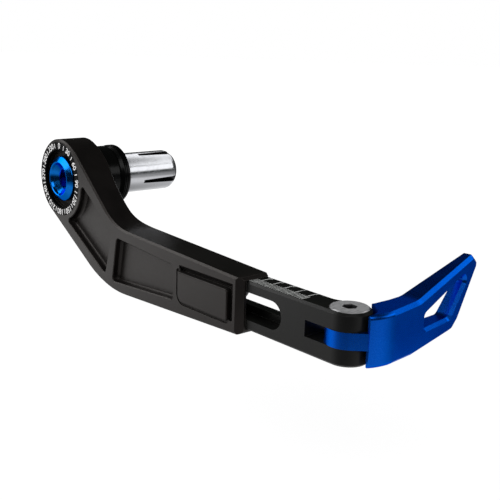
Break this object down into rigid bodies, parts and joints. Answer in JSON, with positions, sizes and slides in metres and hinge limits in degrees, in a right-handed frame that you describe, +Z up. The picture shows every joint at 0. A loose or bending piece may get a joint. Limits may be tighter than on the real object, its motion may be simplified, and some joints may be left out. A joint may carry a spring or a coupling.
{
  "type": "motorcycle lever guard",
  "caption": "Bar-end lever guard: expanding handlebar insert, cranked arm that turns about it, scaled sliding extension and hinged blue tip.",
  "frame": {"origin": "on the hub axis, in the plane where the flange meets the end of the handlebar", "axes": "+Y along the hub axis into the handlebar, +X forward along the arm, +Z up"},
  "size_m": [0.1725, 0.067, 0.0517],
  "materials": {
    "black_anodised": "satin black anodised",
    "silver_aluminium": "turned and lightly polished, clear anodised",
    "black_oxide_steel": "black oxide",
    "hardened_pin": "ground",
    "blue_anodised_bolt": "bright blue anodised, turned",
    "stainless_washer": "stamped stainless",
    "black_anodised_arm": "satin black anodised over a fine bead-blasted surface",
    "dial_ring_black": "black anodised with printed scale",
    "bronze_bush": "sintered bronze",
    "black_oxide_screw": "black oxide",
    "stainless_spring": "stainless spring steel",
    "steel_insert": "plain steel",
    "black_anodised_bar": "satin black anodised with printed length scale",
    "stainless_screw": "machined stainless",
    "stainless_barrel": "turned stainless",
    "blue_anodised_tip": "satin blue anodised"
  },
  "bodies": {
    "bar_mount": {"bar_flange": "black_anodised", "hub_spacer": "black_anodised", "expanding_collet": "silver_aluminium"},
    "bolt": {"main_bolt": "blue_anodised_bolt", "bolt_washer": "stainless_washer"},
    "cone_nut": {"wedge_nut": "black_oxide_steel", "nut_key_pin": "hardened_pin"},
    "guard_arm": {"arm": "black_anodised_arm", "face_ring": "dial_ring_black", "hub_bush": "bronze_bush", "thread_inserts": "steel_insert", "clamp_screws": "black_oxide_screw", "clamp_washers": "stainless_washer", "spring_washers": "stainless_spring"},
    "extension": {"extension_bar": "black_anodised_bar", "pivot_screw": "stainless_screw", "pivot_barrel": "stainless_barrel"},
    "tip": {"tip_blade": "blue_anodised_tip", "pivot_bush": "bronze_bush", "pivot_washers": "stainless_washer"}
  },
  "joints": [
    {"name": "arm_turn", "type": "hinge", "parent": "bar_mount", "child": "guard_arm", "pos_m": [0, 0, 0], "axis": [0, 1, 0], "continuous": true},
    {"name": "main_bolt_turn", "type": "hinge", "parent": "bar_mount", "child": "bolt", "pos_m": [0, 0, 0], "axis": [0, 1, 0], "range_deg": [-720, 0]},
    {"name": "wedge_nut_travel", "type": "slide", "parent": "bar_mount", "child": "cone_nut", "axis": [0, 1, 0], "range_m": [0, 0.0025]},
    {"name": "extension_slide", "type": "slide", "parent": "guard_arm", "child": "extension", "axis": [1, 0, 0], "range_m": [-0.024, 0.001]},
    {"name": "tip_fold", "type": "hinge", "parent": "extension", "child": "tip", "pos_m": [0.1464, -0.01615, -0.024], "axis": [0, 0, 1], "range_deg": [-105, 45]}
  ],
  "couplings": [
    {"joint": "main_bolt_turn", "follows": "wedge_nut_travel", "rad_per_m": -5026.5}
  ]
}
